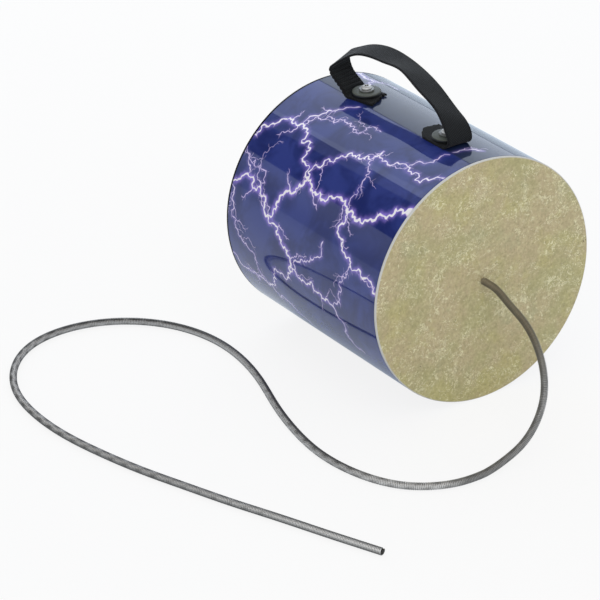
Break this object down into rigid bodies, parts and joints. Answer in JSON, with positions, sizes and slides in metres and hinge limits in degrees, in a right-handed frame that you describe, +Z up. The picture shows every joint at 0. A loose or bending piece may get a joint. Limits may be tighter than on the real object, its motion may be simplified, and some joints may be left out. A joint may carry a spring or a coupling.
{
  "type": "spring drum",
  "caption": "Short one-headed drum lying on its side, with a webbing handle on top and a long close-wound spring fixed to the middle of its head.",
  "frame": {"origin": "middle of the drum's depth on the surface it lies on, straight below its axis", "axes": "+Z up, +Y along the drum's axis from the head to the open rim, +X across the drum"},
  "size_m": [0.305, 0.3337, 0.1846],
  "materials": {
    "fibre_tube": "raw wound paper board",
    "printed_film": "glossy laminated print",
    "head_ring": "pale satin",
    "head_film": "mottled fibre-look film",
    "webbing": "black woven nylon webbing",
    "olive_washer": "dark olive grey coating",
    "zinc_plate": "zinc plate",
    "bright_steel": "bright plated steel",
    "spring_steel": "bare grey spring wire"
  },
  "bodies": {
    "drum": {"shell_tube": "fibre_tube", "shell_film": "printed_film", "head_ring": "head_ring", "drumhead": "head_film", "anchor_washer": "zinc_plate", "anchor_screw": "bright_steel", "clamp_washer_rear": "olive_washer", "clamp_washer_front": "olive_washer", "trim_washer_rear": "zinc_plate", "trim_washer_front": "zinc_plate", "back_washer_rear": "zinc_plate", "back_washer_front": "zinc_plate", "strap_screw_rear": "bright_steel", "strap_screw_front": "bright_steel", "strap_nut_rear": "bright_steel", "strap_nut_front": "bright_steel"},
    "handle": {"strap_handle": "webbing"},
    "root": {"spring_root": "spring_steel"},
    "free_spring": {"spring": "spring_steel"}
  },
  "joints": [
    {"name": "handle_lean", "type": "hinge", "parent": "drum", "child": "handle", "pos_m": [0, -0.0023, 0.15432], "axis": [0, 1, 0], "range_deg": [-25, 25], "stiffness_Nm_per_rad": 0.2, "deforming": ["strap_handle"]},
    {"name": "spring_roll", "type": "hinge", "parent": "drum", "child": "root", "pos_m": [0, -0.07805, 0.07616], "axis": [0, 1, 0], "range_deg": [0, 60]},
    {"name": "spring_swing", "type": "hinge", "parent": "root", "child": "free_spring", "pos_m": [0, -0.0866, 0.07616], "axis": [0, 0, 1], "range_deg": [-12, 30]}
  ]
}
